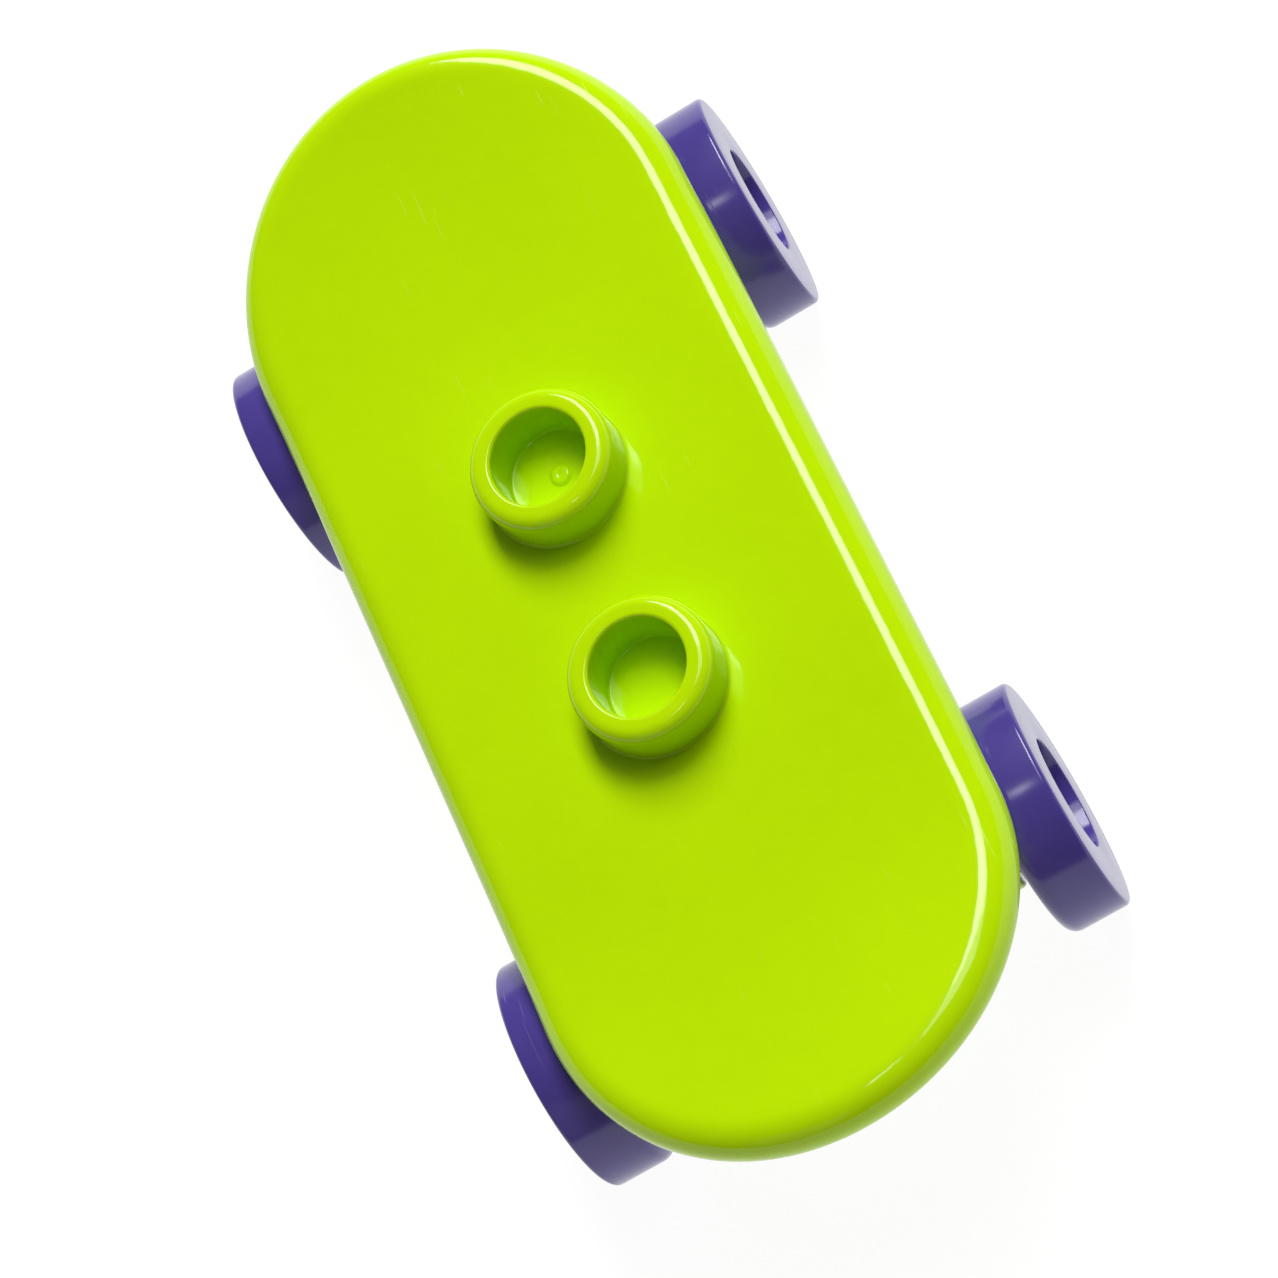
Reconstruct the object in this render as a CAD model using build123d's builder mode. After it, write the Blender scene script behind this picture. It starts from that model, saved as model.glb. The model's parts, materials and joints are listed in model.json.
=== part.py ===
from build123d import *
from math import asin, degrees, radians, sqrt, tan
import os

# Toy-figure skateboard: one deck moulding that carries four snap-in wheels. Millimetres.
# +X runs to the nose, +Y to the left side and +Z up. The origin is on the floor under the deck's centre.

# Deck
deck_length = 39.8  # tip to tip
deck_width = 15.8  # also the diameter of the round ends
deck_thickness = 1.6
flat_half_length = 8.0  # the deck is level this far each side of its centre
tip_rise = 1.65  # how far each tip stands above the level part
top_edge_round = 1.1
bottom_edge_round = 0.4

# Studs on the deck
stud_pitch = 8.0
stud_diameter = 4.8
stud_height = 1.75
stud_bore_diameter = 3.2
stud_floor_sink = 0.1  # the bore's floor lies this far under the deck's top
stud_outer_round = 0.45
stud_inner_round = 0.14

# Wheels, each with its stub axle
wheel_diameter = 7.8
wheel_width = 2.1
wheel_base = 23.6  # front axle to rear axle
wheel_overhang = 1.3  # how far a wheel's outer face stands past the deck's edge
wheel_outer_round = 0.15
wheel_inner_round = 0.45
cup_diameter = 3.8  # blind hollow in the wheel's outer face
cup_depth = 1.3
cup_draft = 4.0  # degrees
cup_floor_round = 0.3
collar_lip = 0.6  # radial, past the shaft
collar_length = 0.3
shaft_diameter = 2.2
head_lip = 0.4  # radial, past the shaft, on the retaining head at the axle's inner end
head_length = 0.6
head_chamfer = 0.22

# Trucks and clips, moulded with the deck
clip_length = 1.5  # along the axle
clip_wall = 0.75
clip_mouth_angle = 100.0  # degrees, open downwards
clip_tip_round = 0.25
web_thickness = 2.0
web_end_slope = 1.0
truck_edge_round = 0.25
truck_sink = 0.3  # how far a truck reaches up into the deck

# Clearances
shaft_clearance = 0.05  # radial, in the clip
end_gap = 0.1  # each side of the clip, along the axle
head_gap = 0.4  # round the retaining head
wheel_nest = 0.3  # how far a wheel's top reaches past the plane of the deck's underside
relief_gap = 0.45  # between a wheel's tread and the relief over it
relief_side_gap = 0.25  # between a wheel's inner face and the side of the relief

# Heights, from the floor up
axle_height = wheel_diameter / 2
deck_bottom = wheel_diameter - wheel_nest
deck_top = deck_bottom + deck_thickness
stud_floor = deck_top - stud_floor_sink

# Places along an axle, from the deck's middle plane outwards
wheel_outer_face = deck_width / 2 + wheel_overhang
wheel_inner_face = wheel_outer_face - wheel_width
collar_face = wheel_inner_face - collar_length
clip_outer_face = collar_face - end_gap
clip_inner_face = clip_outer_face - clip_length
head_face = clip_inner_face - end_gap
head_end = head_face - head_length
web_half_length = head_end - head_gap

# The upturned ends are arcs that leave the level part without a corner
bend_run = deck_length / 2 - flat_half_length
bend_radius = (bend_run**2 + tip_rise**2) / (2 * tip_rise)
trim_angle = 3.0  # degrees of arc past the tip, which the outline cuts off
bend_sweep = degrees(asin(bend_run / bend_radius)) + trim_angle

shaft_radius = shaft_diameter / 2
collar_radius = shaft_radius + collar_lip
head_radius = shaft_radius + head_lip
clip_bore_radius = shaft_radius + shaft_clearance
clip_radius = clip_bore_radius + clip_wall
beam_bottom = axle_height + head_radius + head_gap
wheel_radius = wheel_diameter / 2
cup_radius = cup_diameter / 2

# Limits used to pick edges and faces
upper_half = 0.6  # share of the deck's thickness
lower_quarter = 0.2
upright = 0.01  # largest upward part of an upright wall's normal
same_size = 1e-4


def rise_at(x):
    """Height of the deck's top above its level part."""
    run = max(0.0, abs(x) - flat_half_length)
    return bend_radius - sqrt(bend_radius**2 - run**2)


def height_in_deck(edge):
    """Height of an edge's middle in the deck's thickness, from 0 at the underside to 1 at the top."""
    point = edge @ 0.5
    return (point.Z - rise_at(point.X) - deck_bottom) / deck_thickness


def edges_round_walls(part):
    """The edges above and below a part's upright walls."""
    walls = part.faces().filter_by(lambda f: abs(f.normal_at().Z) < upright)
    return walls.edges().filter_by(Axis.Z, reverse=True)


def rings(part, diameter):
    """A part's circular edges of one diameter."""
    circles = part.edges().filter_by(GeomType.CIRCLE)
    return circles.filter_by(lambda e: abs(2 * e.radius - diameter) < same_size)


truck_top = deck_bottom + rise_at(wheel_base / 2 + clip_radius) + truck_sink


# One truck, standing at X = 0: a beam under the deck, a web below it and a clip at each end.
with BuildPart() as truck:
    with BuildSketch(Plane.XY.offset(beam_bottom)):
        Rectangle(2 * clip_radius, 2 * clip_outer_face)
    extrude(amount=truck_top - beam_bottom)
    beam_edges = truck.edges().filter_by(Axis.Y).group_by(Axis.Z)[0]
    fillet(beam_edges, radius=truck_edge_round)

    # The web's ends slope in towards its lower edge.
    with BuildSketch(Plane.YZ.offset(-web_thickness / 2)):
        with BuildLine():
            Polyline(
                (-web_half_length, beam_bottom + truck_sink),
                (-web_half_length, beam_bottom),
                (-web_half_length + web_end_slope, axle_height),
                (web_half_length - web_end_slope, axle_height),
                (web_half_length, beam_bottom),
                (web_half_length, beam_bottom + truck_sink),
                close=True,
            )
        make_face()
    extrude(amount=web_thickness)
    web_edges = truck.edges().filter_by(Axis.Y).group_by(Axis.Z)[0]
    fillet(web_edges, radius=truck_edge_round)

    # A clip is an arch with the axle's bore through it and a mouth that opens downwards.
    with BuildSketch(Plane.XZ.offset(-clip_outer_face)) as clip_outline:
        with Locations((0, axle_height)):
            Circle(clip_radius)
        with Locations((0, (axle_height + truck_top) / 2)):
            Rectangle(2 * clip_radius, truck_top - axle_height)
        with Locations((0, axle_height)):
            Circle(clip_bore_radius, mode=Mode.SUBTRACT)
        mouth_depth = 2 * clip_radius
        mouth_half_width = mouth_depth * tan(radians(clip_mouth_angle / 2))
        with BuildLine():
            Polyline(
                (0, axle_height),
                (-mouth_half_width, axle_height - mouth_depth),
                (mouth_half_width, axle_height - mouth_depth),
                close=True,
            )
        make_face(mode=Mode.SUBTRACT)
        tips = clip_outline.vertices().filter_by(lambda v: v.Y < axle_height - clip_bore_radius / 4)
        fillet(tips, radius=min(clip_tip_round, 0.4 * clip_wall))
    extrude(amount=clip_length)
    mirror(about=Plane.XZ)


with BuildPart() as deck:
    # Side profile: a level middle with an arc up to each tip, trimmed by the outline seen from above.
    with BuildSketch(Plane.XZ.offset(-deck_width)):
        with BuildLine():
            bend_centre = (flat_half_length, deck_top + bend_radius)
            lower_bend = CenterArc(bend_centre, bend_radius + deck_thickness, 270, bend_sweep)
            upper_bend = CenterArc(bend_centre, bend_radius, 270, bend_sweep)
            Line(lower_bend @ 1, upper_bend @ 1)
            Line((0, deck_bottom), lower_bend @ 0)
            Line((0, deck_top), upper_bend @ 0)
            mirror(about=Plane.YZ)
        make_face()
    extrude(amount=2 * deck_width)
    with BuildSketch():
        SlotOverall(deck_length, deck_width)
    extrude(amount=2 * deck_top, mode=Mode.INTERSECT)

    # Both rims are rounded, and a narrow upright wall stays between them.
    upper_rim = edges_round_walls(deck).filter_by(lambda e: height_in_deck(e) > upper_half)
    fillet(upper_rim, radius=min(top_edge_round, 0.7 * deck_thickness))
    lower_rim = edges_round_walls(deck).filter_by(lambda e: height_in_deck(e) < lower_quarter)
    fillet(lower_rim, radius=min(bottom_edge_round, 0.25 * deck_thickness))

    with Locations((wheel_base / 2, 0), (-wheel_base / 2, 0)):
        add(truck.part)

    # A shallow relief in the deck's lower edge lets each wheel turn under it.
    for side in (1, -1):
        relief_start = wheel_inner_face - relief_side_gap
        relief_plane = Plane((0, side * relief_start, axle_height), x_dir=(1, 0, 0), z_dir=(0, side, 0))
        with BuildSketch(relief_plane):
            with Locations((wheel_base / 2, 0), (-wheel_base / 2, 0)):
                Circle(wheel_radius + relief_gap)
        extrude(amount=deck_width, mode=Mode.SUBTRACT)

    # Hollow studs
    stud_places = [(stud_pitch / 2, 0), (-stud_pitch / 2, 0)]
    with BuildSketch(Plane.XY.offset(deck_top)):
        with Locations(*stud_places):
            Circle(stud_diameter / 2)
    extrude(amount=stud_height)
    fillet(rings(deck, stud_diameter).group_by(Axis.Z)[-1], radius=stud_outer_round)
    with BuildSketch(Plane.XY.offset(stud_floor)):
        with Locations(*stud_places):
            Circle(stud_bore_diameter / 2)
    extrude(amount=stud_height + stud_floor_sink, mode=Mode.SUBTRACT)
    fillet(rings(deck, stud_bore_diameter).group_by(Axis.Z)[-1], radius=stud_inner_round)

deck.part.label = "deck"


def build_wheel(x, side):
    """A wheel with its stub axle, on the left (side = 1) or the right (side = -1)."""
    hub = Plane((x, 0, axle_height), x_dir=(0, side, 0), z_dir=(side, 0, 0))
    cup_floor = wheel_outer_face - cup_depth
    cup_floor_radius = cup_radius - cup_depth * tan(radians(cup_draft))
    with BuildPart() as wheel:
        # Half section: distance from the deck's middle plane, then distance from the axle.
        with BuildSketch(hub) as section:
            with BuildLine():
                Polyline(
                    (head_end, 0),
                    (head_end, head_radius - head_chamfer),
                    (head_end + head_chamfer, head_radius),
                    (head_face, head_radius),
                    (head_face, shaft_radius),
                    (collar_face, shaft_radius),
                    (collar_face, collar_radius),
                    (wheel_inner_face, collar_radius),
                    (wheel_inner_face, wheel_radius),
                    (wheel_outer_face, wheel_radius),
                    (wheel_outer_face, cup_radius),
                    (cup_floor, cup_floor_radius),
                    (cup_floor, 0),
                    close=True,
                )
            make_face()
            corners = section.vertices()
            fillet(corners.sort_by_distance((wheel_inner_face, wheel_radius))[0], wheel_inner_round)
            fillet(corners.sort_by_distance((wheel_outer_face, wheel_radius))[0], wheel_outer_round)
            fillet(corners.sort_by_distance((cup_floor, cup_floor_radius))[0], cup_floor_round)
        revolve(axis=Axis((x, 0, axle_height), (0, side, 0)))
    return wheel.part


wheel_places = {
    "wheel_front_left": (wheel_base / 2, 1),
    "wheel_front_right": (wheel_base / 2, -1),
    "wheel_rear_left": (-wheel_base / 2, 1),
    "wheel_rear_right": (-wheel_base / 2, -1),
}

os.makedirs("parts", exist_ok=True)
export_step(deck.part, "parts/deck.step")
for name, (x, side) in wheel_places.items():
    wheel = build_wheel(x, side)
    wheel.label = name
    export_step(wheel, f"parts/{name}.step")
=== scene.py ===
import json
from math import asin, cos, degrees, pi, radians, sin, sqrt

import bmesh
import bpy
from mathutils import Matrix, Vector


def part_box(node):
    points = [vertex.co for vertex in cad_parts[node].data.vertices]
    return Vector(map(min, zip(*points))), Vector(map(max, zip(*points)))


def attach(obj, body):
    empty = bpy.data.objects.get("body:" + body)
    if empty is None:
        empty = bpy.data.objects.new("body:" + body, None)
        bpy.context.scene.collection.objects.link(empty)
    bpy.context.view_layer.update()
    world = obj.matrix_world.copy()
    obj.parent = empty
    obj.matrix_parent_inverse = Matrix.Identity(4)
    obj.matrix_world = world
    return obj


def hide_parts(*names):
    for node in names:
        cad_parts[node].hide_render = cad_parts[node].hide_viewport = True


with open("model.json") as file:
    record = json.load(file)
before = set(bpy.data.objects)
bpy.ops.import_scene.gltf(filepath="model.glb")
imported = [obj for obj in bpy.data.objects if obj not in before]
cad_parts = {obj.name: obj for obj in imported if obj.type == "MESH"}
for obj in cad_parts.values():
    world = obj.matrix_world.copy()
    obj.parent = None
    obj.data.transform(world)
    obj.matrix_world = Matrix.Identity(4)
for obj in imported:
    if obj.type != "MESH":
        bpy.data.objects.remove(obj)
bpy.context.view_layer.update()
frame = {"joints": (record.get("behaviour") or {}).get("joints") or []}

# Sizes are in millimetres, and each finished mesh is scaled to metres.
mm = 0.001
weld = 0.0005  # points closer than this are joined
deckLow, deckHigh = [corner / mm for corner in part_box("deck")]
deckLength = deckHigh.x - deckLow.x
deckWidth = deckHigh.y - deckLow.y
axles = {joint["child"]: Vector(joint["pos_m"]) / mm for joint in frame["joints"]}
wheelBase = axles["front_left_wheel"].x - axles["rear_left_wheel"].x
axleHeight = axles["front_left_wheel"].z


# Wraps one socket of a node tree, so that shader and geometry maths is written as an expression.
class Wire:
    def __init__(self, socket):
        self.socket = socket

    def __getitem__(self, name):  # another output of the same node
        return Wire(self.socket.node.outputs[name])

    def calc(self, operation, *values):
        node = self.socket.id_data.nodes.new("ShaderNodeMath")
        node.operation = operation
        for entry, value in zip(node.inputs, values):
            feed(entry, value)
        return Wire(node.outputs[0])

    def __add__(self, other):
        return self.calc("ADD", self, other)

    def __radd__(self, other):
        return self.calc("ADD", other, self)

    def __sub__(self, other):
        return self.calc("SUBTRACT", self, other)

    def __rsub__(self, other):
        return self.calc("SUBTRACT", other, self)

    def __mul__(self, other):
        return self.calc("MULTIPLY", self, other)

    def __rmul__(self, other):
        return self.calc("MULTIPLY", other, self)

    def __truediv__(self, other):
        return self.calc("DIVIDE", self, other)

    def __abs__(self):
        return self.calc("ABSOLUTE", self)

    def root(self):
        return self.calc("SQRT", self)

    def sine(self):
        return self.calc("SINE", self)

    def cosine(self):
        return self.calc("COSINE", self)

    def atLeast(self, other):
        return self.calc("MAXIMUM", self, other)

    def below(self, other):
        return self.calc("LESS_THAN", self, other)

    def rise(self, start, length):  # 0 up to start, then a straight climb to 1 over length
        climb = (self - start) / length
        climb.socket.node.use_clamp = True
        return climb


# Links a wire to an input, or sets the input's value.
def feed(entry, value):
    if isinstance(value, Wire):
        entry.id_data.links.new(value.socket, entry)
    else:
        entry.default_value = value


class Tree:
    def __init__(self, data):
        self.data = data

    # One node: its settings first, then the values or links of its sockets.
    def node(self, kind, settings=None, sockets=None):
        made = self.data.nodes.new(kind)
        for name, value in (settings or {}).items():
            setattr(made, name, value)
        for name, value in (sockets or {}).items():
            if isinstance(name, int):
                entry = made.inputs[name]
            else:
                entry = next(i for i in made.inputs if i.name == name and i.enabled)
            feed(entry, value)
        shown = [o for o in made.outputs if o.enabled]
        return Wire(shown[0]) if shown else made

    def vector(self, x, y, z):
        return self.node("ShaderNodeCombineXYZ", {}, {"X": x, "Y": y, "Z": z})

    def split(self, vector):
        parts = self.node("ShaderNodeSeparateXYZ", {}, {"Vector": vector})
        return parts["X"], parts["Y"], parts["Z"]


socketKinds = {int: "NodeSocketInt", float: "NodeSocketFloat", tuple: "NodeSocketVector"}


# A geometry tree whose named inputs are the sizes in a dictionary.
def sizedTree(name, sizes):
    data = bpy.data.node_groups.new(name, "GeometryNodeTree")
    data.interface.new_socket("Geometry", in_out="INPUT", socket_type="NodeSocketGeometry")
    data.interface.new_socket("Geometry", in_out="OUTPUT", socket_type="NodeSocketGeometry")
    for label, value in sizes.items():
        kind = socketKinds.get(type(value), "NodeSocketMaterial")
        data.interface.new_socket(label, in_out="INPUT", socket_type=kind)
    tree = Tree(data)
    entry = tree.node("NodeGroupInput")
    return tree, {label: entry[label] for label in ["Geometry", *sizes]}


# The end of every geometry tree: metres, soft shading except over sharp edges, and the material.
def closeTree(tree, geometry, material, sharpAngle=35):
    merged = tree.node("GeometryNodeMergeByDistance", {}, {"Geometry": geometry, "Distance": weld})
    real = tree.node("GeometryNodeRealizeInstances", {}, {"Geometry": merged})
    metres = tree.node("GeometryNodeTransform", {}, {"Geometry": real, "Scale": (mm, mm, mm)})
    smooth = tree.node("GeometryNodeSetShadeSmooth", {}, {"Geometry": metres})
    bend = tree.node("GeometryNodeInputMeshEdgeAngle")
    soft = bend.below(radians(sharpAngle))
    crisp = tree.node("GeometryNodeSetShadeSmooth", {"domain": "EDGE"}, {
        "Geometry": smooth, "Shade Smooth": soft})
    painted = tree.node("GeometryNodeSetMaterial", {}, {"Geometry": crisp, "Material": material})
    tree.node("NodeGroupOutput", {}, {"Geometry": painted})


# Runs a tree on some data and keeps the result as a plain mesh object at the origin.
def grow(name, data, tree, sizes, body):
    source = bpy.data.objects.new(name + "Source", data)
    bpy.context.scene.collection.objects.link(source)
    modifier = source.modifiers.new("Grow", "NODES")
    modifier.node_group = tree.data
    for entry in tree.data.interface.items_tree:
        if entry.in_out == "INPUT" and entry.name in sizes:
            modifier[entry.identifier] = sizes[entry.name]
    ready = source.evaluated_get(bpy.context.evaluated_depsgraph_get())
    mesh = bpy.data.meshes.new_from_object(ready)
    bpy.data.objects.remove(source)
    return settle(name, mesh, body)


# Turns a mesh's faces outwards and gives it to a body.
def settle(name, mesh, body):
    sheet = bmesh.new()
    sheet.from_mesh(mesh)
    bmesh.ops.recalc_face_normals(sheet, faces=sheet.faces)
    sheet.to_mesh(mesh)
    sheet.free()
    mesh.name = name
    piece = bpy.data.objects.new(name, mesh)
    bpy.context.scene.collection.objects.link(piece)
    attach(piece, body)
    print("  ", name, "has", len(mesh.polygons), "faces and rides on", body)
    return piece


def newMaterial(name):
    material = bpy.data.materials.new(name)
    material.use_nodes = True
    material.node_tree.nodes.clear()
    return material, Tree(material.node_tree)


# What both plastics share
plastic = {"scratchAngles": (24, -52), "scratchEdge": 0.04, "patchStart": 0.56, "patchEdge": 0.1,
           "scratchRoughness": 0.25, "toneStart": 0.3, "toneSpan": 0.4, "driftShare": 0.75}


# Fine scratches: noise drawn out along one direction, kept only where it peaks inside sparse patches.
def scratches(tree, place, angle, look):
    turned = tree.node("ShaderNodeMapping", {}, {"Vector": place, "Rotation": (0, 0, radians(angle)),
                                                 "Scale": (look["stretch"], look["fineness"], 1)})
    lines = tree.node("ShaderNodeTexNoise", {}, {"Vector": turned, "Scale": 1.0, "Detail": 1.0})
    patches = tree.node("ShaderNodeTexNoise", {}, {"Vector": place, "Scale": look["patch"], "Detail": 1.0})
    peaks = lines.rise(look["edge"], plastic["scratchEdge"])
    return peaks * patches.rise(plastic["patchStart"], plastic["patchEdge"])


# Glossy moulded plastic: a little colour drift, soft polish changes, ripples in the gloss, and scratches.
def mouldedPlastic(name, look):
    material, tree = newMaterial(name)
    where = tree.node("ShaderNodeTexCoord")["Object"]
    place = tree.node("ShaderNodeVectorMath", {"operation": "SCALE"}, {"Vector": where, "Scale": 1 / mm})
    drift = tree.node("ShaderNodeTexNoise", {}, {"Vector": place, "Scale": look["driftScale"], "Detail": 2.0})
    speck = tree.node("ShaderNodeTexNoise", {}, {"Vector": place, "Scale": look["speckScale"], "Detail": 3.0})
    oneWay, otherWay = [scratches(tree, place, angle, look) for angle in plastic["scratchAngles"]]
    marks = oneWay.atLeast(otherWay)
    wide, fine = [noise.rise(plastic["toneStart"], plastic["toneSpan"]) for noise in (drift, speck)]
    tone = wide * plastic["driftShare"] + fine * (1 - plastic["driftShare"])
    colour = tree.node("ShaderNodeMix", {"data_type": "RGBA"},
                       {0: tone, "A": look["deepColour"], "B": look["colour"]})
    scuffed = tree.node("ShaderNodeMix", {"data_type": "RGBA"},
                        {0: marks * look["scuff"], "A": colour, "B": look["scuffColour"]})
    rough = look["roughness"] + (drift - 0.5) * look["polishDrift"] + marks * plastic["scratchRoughness"]
    peel = tree.node("ShaderNodeTexNoise", {}, {"Vector": place, "Scale": look["peelScale"], "Detail": 2.0})
    grain = tree.node("ShaderNodeTexNoise", {}, {"Vector": place, "Scale": look["grainScale"], "Detail": 2.0})
    height = peel * look["peel"] + grain * look["grain"] - marks * look["scratchDepth"]
    bump = tree.node("ShaderNodeBump", {}, {"Height": height, "Strength": 1.0, "Distance": mm})
    shader = tree.node("ShaderNodeBsdfPrincipled", {}, {
        "Base Color": scuffed, "Roughness": rough, "Normal": bump, "IOR": look["ior"]})
    tree.node("ShaderNodeOutputMaterial", {}, {"Surface": shader})
    return material


limeLook = {
    "colour": (0.5, 0.79, 0.0, 1), "deepColour": (0.47, 0.745, 0.0, 1),
    "scuffColour": (0.58, 0.84, 0.06, 1), "scuff": 0.2,
    "driftScale": 0.12, "speckScale": 1.6,
    "roughness": 0.1, "polishDrift": 0.06, "ior": 1.38,
    "peelScale": 0.9, "peel": 0.014, "grainScale": 4.0, "grain": 0.0018,
    "stretch": 0.35, "fineness": 7.0, "patch": 0.25, "edge": 0.72, "scratchDepth": 0.0006,
}
purpleLook = {
    "colour": (0.075, 0.05, 0.29, 1), "deepColour": (0.06, 0.04, 0.245, 1),
    "scuffColour": (0.2, 0.15, 0.42, 1), "scuff": 0.3,
    "driftScale": 0.3, "speckScale": 2.2,
    "roughness": 0.17, "polishDrift": 0.06, "ior": 1.53,
    "peelScale": 0.7, "peel": 0.004, "grainScale": 6.0, "grain": 0.0005,
    "stretch": 0.15, "fineness": 8.0, "patch": 0.3, "edge": 0.7, "scratchDepth": 0.0008,
}
lime = mouldedPlastic("limePlastic", limeLook)
purple = mouldedPlastic("purplePlastic", purpleLook)
print("materials made")

# The board: its rim runs round two straights and two half circles, its section is rounded above and below.
board = {
    "Length": deckLength, "Width": deckWidth, "Thickness": 1.6, "Deck Top": deckHigh.z - 1.75,
    "Flat Half Length": 8.0, "Tip Rise": 1.65, "Top Round": 1.1, "Bottom Round": 0.4,
    "Wheel Base": wheelBase, "Axle Height": axleHeight, "Relief Radius": 4.35, "Relief Start": 6.85,
    "Relief Blend": 0.12, "Stud Pitch": 8.0, "Stud Seat": 1.7, "Seat Depth": 0.15, "Seat Blend": 0.55,
    "Waviness": 0.012, "Wave Scale": 0.16, "Wave Seed": 3.0, "Material": lime,
}
boardSteps = {"straight": 120, "turn": 120,  # round the rim
              "flat": 26, "topRound": 12, "wall": 1, "bottomRound": 6, "under": 24}  # down the section


def boardTree():
    tree, size = sizedTree("boardTree", board)
    steps = boardSteps
    columns = 2 * (steps["straight"] + steps["turn"])
    rows = steps["flat"] + steps["topRound"] + steps["wall"] + steps["bottomRound"] + steps["under"]
    grid = tree.node("GeometryNodeMeshGrid", {}, {
        "Size X": columns, "Size Y": rows, "Vertices X": columns + 1, "Vertices Y": rows + 1})
    across, down, _ = tree.split(tree.node("GeometryNodeInputPosition"))
    column = across + columns / 2
    row = down + rows / 2

    # Round the outline: the left straight, the tail's half circle, the right straight, the nose's.
    legs = []
    start = 0
    for count in (steps["straight"], steps["turn"]) * 2:
        legs.append(column.rise(start, count))
        start += count
    halfStraight = (size["Length"] - size["Width"]) / 2
    centre = halfStraight * (1 - 2 * legs[0] + 2 * legs[2])
    angle = pi / 2 + pi * (legs[1] + legs[3])

    # Down the section: out over the top, round the rim, and back in along the underside.
    parts = []
    start = 0
    for count in (steps["flat"], steps["topRound"], steps["wall"], steps["bottomRound"], steps["under"]):
        parts.append(row.rise(start, count))
        start += count
    top, lip, wall, foot, under = parts
    lip = lip * (pi / 2)
    foot = foot * (pi / 2)
    edge = size["Width"] / 2
    inward = size["Bottom Round"] * (1 - foot.cosine()) + (edge - size["Bottom Round"]) * under
    reach = (edge - size["Top Round"]) * top + size["Top Round"] * lip.sine() - inward
    upright = size["Thickness"] - size["Top Round"] - size["Bottom Round"]
    drop = size["Top Round"] * (1 - lip.cosine()) + upright * wall + size["Bottom Round"] * foot.sine()
    x = centre + reach * angle.cosine()
    y = reach * angle.sine()

    # The ends curl up along an arc that leaves the level part without a corner.
    bendRun = size["Length"] / 2 - size["Flat Half Length"]
    bend = (bendRun * bendRun + size["Tip Rise"] * size["Tip Rise"]) / (2 * size["Tip Rise"])
    run = (abs(x) - size["Flat Half Length"]).atLeast(0)
    outer = bend + size["Thickness"]
    upper = bend - (bend * bend - run * run).root()
    lower = bend - (outer * outer - run * run).root()
    z = size["Deck Top"] + upper + (lower - upper) * (drop / size["Thickness"])

    # A scallop in the lower edge lets each wheel turn under it.
    fromAxle = abs(x) - size["Wheel Base"] / 2
    arch = size["Relief Radius"] * size["Relief Radius"] - fromAxle * fromAxle
    ceiling = size["Axle Height"] + arch.atLeast(0).root()
    z = z + (ceiling - z).atLeast(0) * abs(y).rise(size["Relief Start"], size["Relief Blend"])

    # The surface dips under each stud's wall, which hides the step, and it is nowhere quite level.
    fromStud = abs(x) - size["Stud Pitch"] / 2
    away = (fromStud * fromStud + y * y).root()
    onTop = 1 - row.rise(steps["flat"], 1)
    z = z - size["Seat Depth"] * (1 - away.rise(size["Stud Seat"], size["Seat Blend"])) * onTop
    flatPlace = tree.vector(x, y, z)
    ripple = tree.node("ShaderNodeTexNoise", {"noise_dimensions": "4D"}, {
        "Vector": flatPlace, "W": size["Wave Seed"], "Scale": size["Wave Scale"], "Detail": 0.0})
    place = tree.vector(x, y, z + (ripple - 0.5) * size["Waviness"])
    moved = tree.node("GeometryNodeSetPosition", {}, {"Geometry": grid, "Position": place})
    closeTree(tree, moved, size["Material"])
    return tree


print("board")
blank = bpy.data.meshes.new("blank")
boardPiece = grow("board_shell", blank, boardTree(), board, "board")

# Turned pieces: a half section, whose corners are rounded, is swept round its axis and set in rows.
turned = {
    "Steps Around": 96, "Corner Steps": 6, "Along Count": 1, "Along Step": (0.0, 0.0, 0.0),
    "Across Count": 1, "Across Step": (0.0, 0.0, 0.0), "First": (0.0, 0.0, 0.0), "Turn": (0.0, 0.0, 0.0),
    "Material": lime,
}


def turnTree():
    tree, size = sizedTree("turnTree", turned)
    sweepRadius = 10.0
    corner = tree.node("GeometryNodeInputRadius")
    rounded = tree.node("GeometryNodeFilletCurve", {"mode": "POLY"}, {
        "Curve": size["Geometry"], "Count": size["Corner Steps"], "Radius": corner, "Limit Radius": True})
    section = tree.node("GeometryNodeTransform", {}, {
        "Geometry": rounded, "Translation": (-sweepRadius, 0, 0), "Scale": (1, -1, 1)})
    circle = tree.node("GeometryNodeCurvePrimitiveCircle", {}, {
        "Resolution": size["Steps Around"], "Radius": sweepRadius})
    swept = tree.node("GeometryNodeCurveToMesh", {}, {"Curve": circle, "Profile Curve": section})
    joined = tree.node("GeometryNodeMergeByDistance", {}, {"Geometry": swept, "Distance": weld})
    along = tree.node("GeometryNodeMeshLine", {}, {
        "Count": size["Along Count"], "Start Location": size["First"], "Offset": size["Along Step"]})
    across = tree.node("GeometryNodeMeshLine", {}, {
        "Count": size["Across Count"], "Offset": size["Across Step"]})
    lines = tree.node("GeometryNodeInstanceOnPoints", {}, {"Points": along, "Instance": across})
    spots = tree.node("GeometryNodeRealizeInstances", {}, {"Geometry": lines})
    placed = tree.node("GeometryNodeInstanceOnPoints", {}, {
        "Points": spots, "Instance": joined, "Rotation": size["Turn"]})
    closeTree(tree, tree.node("GeometryNodeRealizeInstances", {}, {"Geometry": placed}), size["Material"])
    return tree


# A half section as an open line: radius, height and corner rounding of each point.
def halfSection(name, points):
    line = bpy.data.curves.new(name, "CURVE")
    line.dimensions = "3D"
    spline = line.splines.new("POLY")
    spline.points.add(len(points) - 1)
    for point, (radius, height, rounding) in zip(spline.points, points):
        point.co = (radius, height, 0, 1)
        point.radius = rounding
    return line


turning = turnTree()

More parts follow.
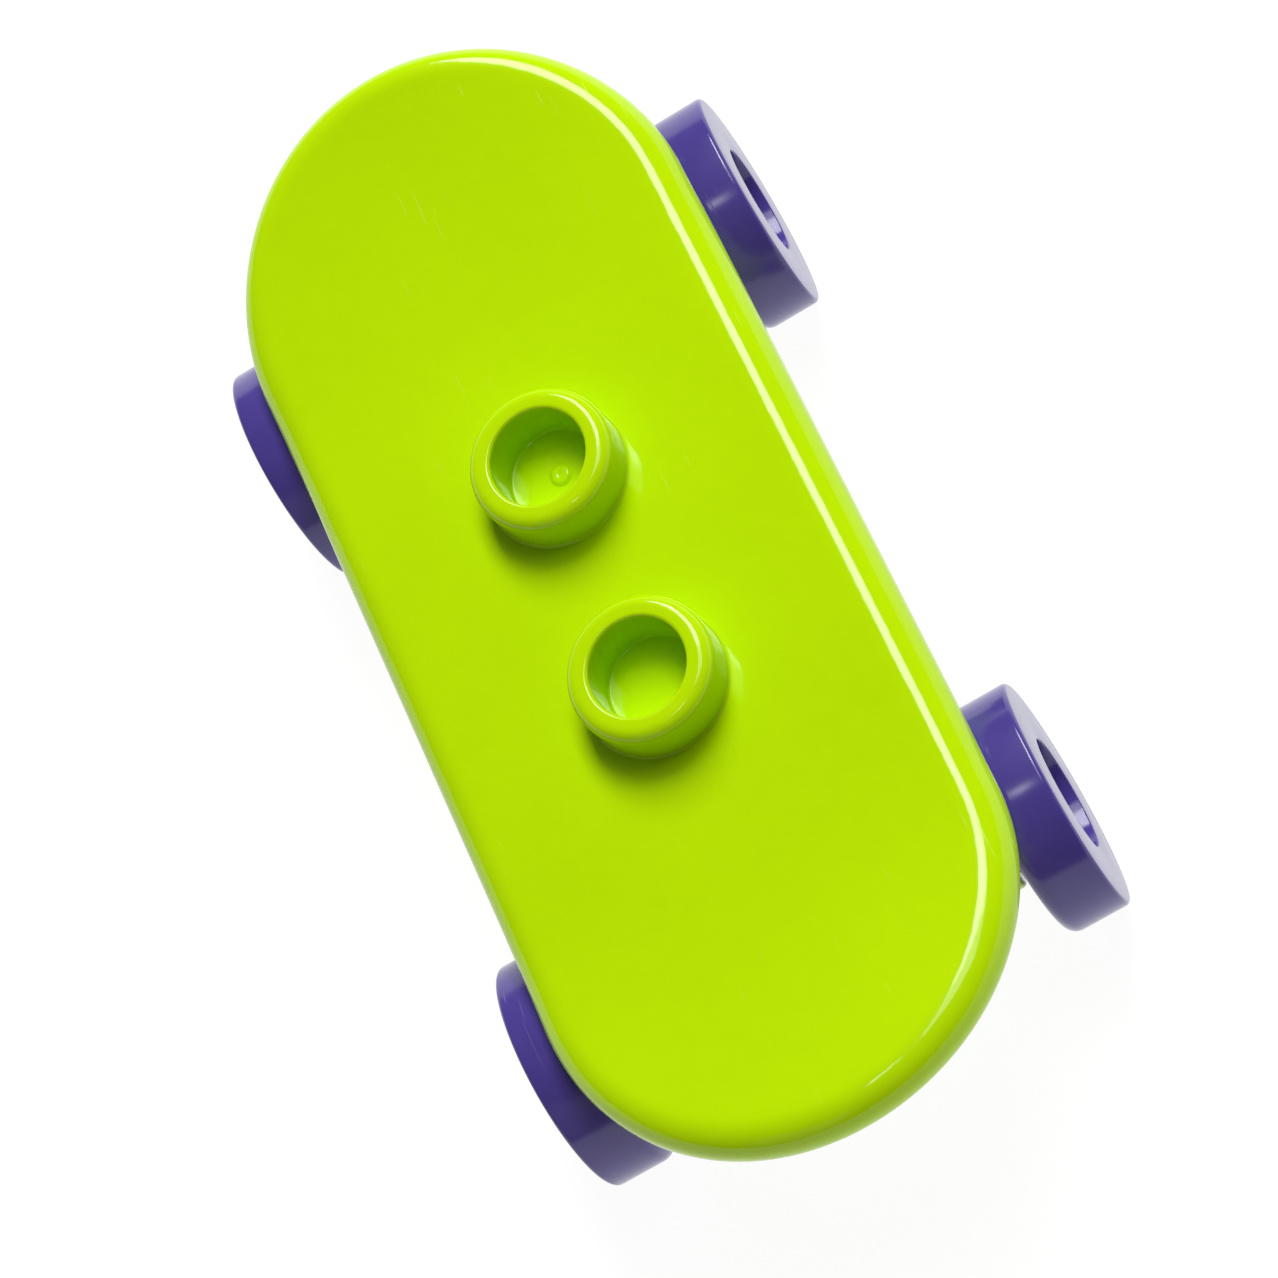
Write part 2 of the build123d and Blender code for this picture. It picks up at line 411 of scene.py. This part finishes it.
# Hollow studs, measured from the board's top. The foot flares into the board.
stud = {"radius": 2.4, "height": 1.75, "bore": 1.6, "floor": -0.1, "outerRound": 0.45, "innerRound": 0.14,
        "floorRound": 0.1, "foot": 0.14, "footReach": 0.26, "base": -0.2, "baseInset": 0.1, "sink": -0.012}
studPoints = [
    (0, stud["base"], 0),
    (stud["radius"] - stud["baseInset"], stud["base"], 0),
    (stud["radius"] + stud["footReach"], stud["sink"], 0),
    (stud["radius"], stud["sink"], stud["foot"]),
    (stud["radius"], stud["height"], stud["outerRound"]),
    (stud["bore"], stud["height"], stud["innerRound"]),
    (stud["bore"], stud["floor"], stud["floorRound"]),
    (0, stud["floor"], 0),
]
print("studs")
studs = {**turned, "Steps Around": 128, "Corner Steps": 8, "Along Count": 2,
         "Along Step": (board["Stud Pitch"], 0.0, 0.0),
         "First": (-board["Stud Pitch"] / 2, 0.0, board["Deck Top"])}
grow("studs", halfSection("studSection", studPoints), turning, studs, "board")

# Gate mark on the rear stud's floor: a low mound with a dimple
gateMark = {"base": 0.42, "brow": 0.27, "browRound": 0.1, "lip": 0.13, "lipHeight": 0.012, "lipRound": 0.08,
            "dimple": -0.03, "under": -0.12, "along": 0.05, "across": 0.1}
gatePoints = [
    (0, gateMark["under"], 0),
    (gateMark["base"], gateMark["under"], 0),
    (gateMark["brow"], 0, gateMark["browRound"]),
    (gateMark["lip"], gateMark["lipHeight"], gateMark["lipRound"]),
    (0, gateMark["dimple"], 0),
]
gate = {**turned, "Steps Around": 32, "Corner Steps": 4,
        "First": (gateMark["along"] - board["Stud Pitch"] / 2, gateMark["across"], board["Deck Top"])}
grow("gate_mark", halfSection("gateSection", gatePoints), turning, gate, "board")

# Ejector pin marks on the underside: each is a thin raised ring
pin = {"radius": 1.0, "inner": 0.9, "foot": 0.88, "top": 0.1, "ring": -0.03, "floor": 0.01, "ease": 0.02,
       "along": 10.0, "across": 9.6}
pinPoints = [
    (0, pin["top"], 0),
    (pin["radius"], pin["top"], 0),
    (pin["radius"], pin["ring"], pin["ease"]),
    (pin["inner"], pin["ring"], pin["ease"]),
    (pin["foot"], pin["floor"], 0),
    (0, pin["floor"], 0),
]
pins = {**turned, "Steps Around": 48, "Corner Steps": 2,
        "Along Count": 2, "Along Step": (pin["along"], 0.0, 0.0),
        "Across Count": 2, "Across Step": (0.0, pin["across"], 0.0),
        "First": (-pin["along"] / 2, -pin["across"] / 2, board["Deck Top"] - board["Thickness"])}
grow("ejector_marks", halfSection("pinSection", pinPoints), turning, pins, "board")

# Wheels, each with its stub axle, measured outwards from the board's middle plane
wheel = {"radius": 3.9, "outerFace": 9.2, "width": 2.1, "outerRound": 0.15, "innerRound": 0.45,
         "cup": 1.9, "cupDepth": 1.3, "cupDraft": 4.0, "collar": 1.7, "collarFace": 6.8,
         "shaft": 1.1, "head": 1.5, "headFace": 5.1, "headEnd": 4.5, "headChamfer": 0.22, "ease": 0.06,
         "cupFloorRound": 0.3, "nubFoot": 0.45, "nubTop": 0.4, "nubHeight": 0.12, "nubEase": 0.05,
         "dimple": 0.18, "dimpleFoot": 0.14, "dimpleHeight": 0.04, "dimpleEase": 0.03}


# The half section runs from the head's inner end out to the nub in the cup, where the plastic went in.
def wheelPoints():
    innerFace = wheel["outerFace"] - wheel["width"]
    cupFloor = wheel["outerFace"] - wheel["cupDepth"]
    floorRadius = wheel["cup"] - wheel["cupDepth"] * sin(radians(wheel["cupDraft"]))
    ease = wheel["ease"]
    return [
        (0, wheel["headEnd"], 0),
        (wheel["head"] - wheel["headChamfer"], wheel["headEnd"], ease),
        (wheel["head"], wheel["headEnd"] + wheel["headChamfer"], ease),
        (wheel["head"], wheel["headFace"], ease),
        (wheel["shaft"], wheel["headFace"], ease),
        (wheel["shaft"], wheel["collarFace"], ease),
        (wheel["collar"], wheel["collarFace"], ease),
        (wheel["collar"], innerFace, ease),
        (wheel["radius"], innerFace, wheel["innerRound"]),
        (wheel["radius"], wheel["outerFace"], wheel["outerRound"]),
        (wheel["cup"], wheel["outerFace"], ease),
        (floorRadius, cupFloor, wheel["cupFloorRound"]),
        (wheel["nubFoot"], cupFloor, wheel["nubEase"]),
        (wheel["nubTop"], cupFloor + wheel["nubHeight"], wheel["nubEase"]),
        (wheel["dimple"], cupFloor + wheel["nubHeight"], wheel["dimpleEase"]),
        (wheel["dimpleFoot"], cupFloor + wheel["dimpleHeight"], wheel["dimpleEase"]),
        (0, cupFloor + wheel["dimpleHeight"], 0),
    ]


print("wheels")
for body, place in axles.items():
    side = 1 if place.y > 0 else -1
    corner = body.removesuffix("_wheel")
    sizes = {**turned, "Steps Around": 144, "Corner Steps": 7, "First": (place.x, 0.0, place.z),
             "Turn": (-side * pi / 2, 0.0, 0.0), "Material": purple}
    section = halfSection("wheelSection", wheelPoints())
    piece = grow(corner + "_roller", section, turning, sizes, body)
    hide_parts("wheel_" + corner)

# Trucks: a beam, a web under it and a clip at each end, in outlines drawn out and then eased at their edges
truck = {"clipLength": 1.5, "clipOuter": 6.7, "clipBore": 1.15, "clipWall": 0.75, "mouth": 100,
         "beamBottom": 5.8, "sink": 0.3, "webThickness": 2.0, "webSlope": 1.0, "webHalfLength": 4.1,
         "webRoot": 0.4, "inset": 0.02, "ease": 0.14, "easeSteps": 4, "easeAngle": 40,
         "arcSteps": 28, "tipSteps": 8}


def arc(centre, radius, start, end, steps):
    turns = [radians(start + (end - start) * step / steps) for step in range(steps + 1)]
    return [(centre[0] + radius * cos(turn), centre[1] + radius * sin(turn)) for turn in turns]


def truckTop():
    bendRun = board["Length"] / 2 - board["Flat Half Length"]
    bend = (bendRun**2 + board["Tip Rise"]**2) / (2 * board["Tip Rise"])
    run = wheelBase / 2 + truck["clipBore"] + truck["clipWall"] - board["Flat Half Length"]
    return board["Deck Top"] - board["Thickness"] + bend - sqrt(bend**2 - run**2) + truck["sink"]


# Draws an outline out from one plane to another; across says which way it faces.
def drawOut(sheet, outline, near, far, across):
    place = (lambda a, b, c: (a, c, b)) if across == "y" else (lambda a, b, c: (c, a, b))
    rims = [[sheet.verts.new(place(a, b, depth)) for a, b in outline] for depth in (near, far)]
    count = len(outline)
    sheet.faces.new(rims[0])
    sheet.faces.new(list(reversed(rims[1])))
    for at in range(count):
        after = (at + 1) % count
        sheet.faces.new((rims[0][at], rims[0][after], rims[1][after], rims[1][at]))


def truckShell(x):
    sheet = bmesh.new()
    radius = truck["clipBore"] + truck["clipWall"]
    top = truckTop()
    low = truck["beamBottom"]
    end = truck["clipOuter"]
    wide = radius - truck["inset"]
    beam = [(x - wide, low), (x + wide, low), (x + wide, top), (x - wide, top)]
    drawOut(sheet, beam, truck["inset"] - end, end - truck["inset"], "y")
    half = truck["webHalfLength"]
    foot = half - truck["webSlope"]
    root = low + truck["webRoot"]
    web = [(-half, root), (-half, low), (-foot, axleHeight), (foot, axleHeight), (half, low), (half, root)]
    drawOut(sheet, web, x - truck["webThickness"] / 2, x + truck["webThickness"] / 2, "x")
    hub = (x, axleHeight)
    thick = truck["clipWall"] / 2
    middle = truck["clipBore"] + thick
    tip = truck["mouth"] / 2 - 90 + degrees(asin(thick / middle))
    rightTip, leftTip = [(x + middle * cos(radians(turn)), axleHeight + middle * sin(radians(turn)))
                         for turn in (tip, 180 - tip)]
    outline = arc(hub, radius, tip, 0, truck["arcSteps"] // 4)
    outline += [(x + radius, top), (x - radius, top)]
    outline += arc(hub, radius, 180, 180 - tip, truck["arcSteps"] // 4)
    outline += arc(leftTip, thick, 180 - tip, 360 - tip, truck["tipSteps"])[1:-1]
    outline += arc(hub, truck["clipBore"], 180 - tip, tip, truck["arcSteps"])
    outline += arc(rightTip, thick, tip - 180, tip, truck["tipSteps"])[1:-1]
    for side in (-1, 1):
        ends = sorted((side * end, side * (end - truck["clipLength"])))
        drawOut(sheet, outline, ends[0], ends[1], "y")
    bmesh.ops.recalc_face_normals(sheet, faces=sheet.faces)
    mesh = bpy.data.meshes.new("truck")
    bmesh.ops.scale(sheet, vec=(mm, mm, mm), verts=sheet.verts)
    sheet.to_mesh(mesh)
    sheet.free()
    return mesh


print("trucks")
for name, x in (("front_truck", wheelBase / 2), ("rear_truck", -wheelBase / 2)):
    rough = bpy.data.objects.new(name + "Rough", truckShell(x))
    bpy.context.scene.collection.objects.link(rough)
    ease = rough.modifiers.new("Ease", "BEVEL")
    ease.width = truck["ease"] * mm
    ease.segments = truck["easeSteps"]
    ease.limit_method = "ANGLE"
    ease.angle_limit = radians(truck["easeAngle"])
    ready = rough.evaluated_get(bpy.context.evaluated_depsgraph_get())
    mesh = bpy.data.meshes.new_from_object(ready)
    bpy.data.objects.remove(rough)
    mesh.materials.append(lime)
    mesh.shade_smooth()
    settle(name, mesh, "board")

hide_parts("deck")

# The table is plain and white, with low walls far off, and it glows as a lit sweep does.
table = {"size": 3.0, "wall": 0.2, "colour": (0.1, 0.1, 0.1, 1), "glow": 0.95,
         "roughness": 0.7, "specular": 0.1}
tableMaterial, tableTree = newMaterial("paleTable")
tableShader = tableTree.node("ShaderNodeBsdfPrincipled", {}, {
    "Base Color": table["colour"], "Roughness": table["roughness"], "Specular IOR Level": table["specular"],
    "Emission Color": (1, 1, 1, 1), "Emission Strength": table["glow"]})
tableTree.node("ShaderNodeOutputMaterial", {}, {"Surface": tableShader})
half = table["size"] / 2
corners = [(-half, -half), (half, -half), (half, half), (-half, half)]
rims = [(x, y, 0) for x, y in corners] + [(x, y, table["wall"]) for x, y in corners]
walls = [(at, 4 + at, 4 + (at + 1) % 4, (at + 1) % 4) for at in range(4)]
tableMesh = bpy.data.meshes.new("table")
tableMesh.from_pydata(rims, [], [(0, 1, 2, 3), *walls])
tableMesh.materials.append(tableMaterial)
tablePiece = bpy.data.objects.new("table", tableMesh)
bpy.context.scene.collection.objects.link(tablePiece)

# Soft boxes: centre and size in millimetres, brightness as radiance, and the point each one faces
lights = {
    "nearBox": {"place": (-74, 152, 420), "size": (130, 190), "radiance": 4.6, "aim": (-74, 152, 0)},
    "mainBox": {"place": (-260, 156, 420), "size": (240, 190), "radiance": 15.4, "aim": (-260, 156, 0)},
    "farBox": {"place": (-486, 156, 420), "size": (210, 190), "radiance": 14.0, "aim": (-486, 156, 0)},
    "topLamp": {"place": (8, -2, 105), "size": (9, 11), "radiance": 9.0, "aim": (8, -2, 0)},
    "fillBox": {"place": (250, -160, 160), "size": (200, 200), "radiance": 0.25, "aim": (0, 0, 5)},
}
for name, box in lights.items():
    lamp = bpy.data.lights.new(name, "AREA")
    lamp.shape = "RECTANGLE"
    lamp.size, lamp.size_y = [side * mm for side in box["size"]]
    lamp.energy = box["radiance"] * pi * lamp.size * lamp.size_y
    holder = bpy.data.objects.new(name, lamp)
    bpy.context.scene.collection.objects.link(holder)
    sight = Vector(box["aim"]) - Vector(box["place"])
    holder.location = Vector(box["place"]) * mm
    holder.rotation_euler = sight.to_track_quat("-Z", "Y").to_euler()

roomLight = {"colour": (1, 1, 1, 1), "strength": 0.06}
room = bpy.data.worlds.new("room")
bpy.context.scene.world = room
room.use_nodes = True
backdrop = room.node_tree.nodes["Background"]
backdrop.inputs["Color"].default_value = roomLight["colour"]
backdrop.inputs["Strength"].default_value = roomLight["strength"]
bpy.context.scene.view_settings.view_transform = "Standard"

# The camera looks down on the nose's side, tilted so that the board runs from upper left to lower right.
camera = {"azimuth": 21.88, "elevation": 62.87, "tilt": -49.72, "distance": 129.0,
          "aim": (1.99, -0.06, 8.17), "lens": 116.35, "sensor": 36, "nearest": 1.0}
lens = bpy.data.cameras.new("camera")
lens.sensor_width = camera["sensor"]
lens.lens = camera["lens"]
lens.clip_start = camera["nearest"] * mm
viewer = bpy.data.objects.new("camera", lens)
bpy.context.scene.collection.objects.link(viewer)
bpy.context.scene.camera = viewer
back = Vector((0, 0, 1))
turnUp = Matrix.Rotation(radians(90 - camera["elevation"]), 3, "X")
turnRound = Matrix.Rotation(radians(90 + camera["azimuth"]), 3, "Z")
roll = Matrix.Rotation(radians(camera["tilt"]), 3, "Z")
facing = turnRound @ turnUp @ roll
viewer.matrix_world = facing.to_4x4()
viewer.location = (Vector(camera["aim"]) + facing @ back * camera["distance"]) * mm
print("camera, lights and table set")
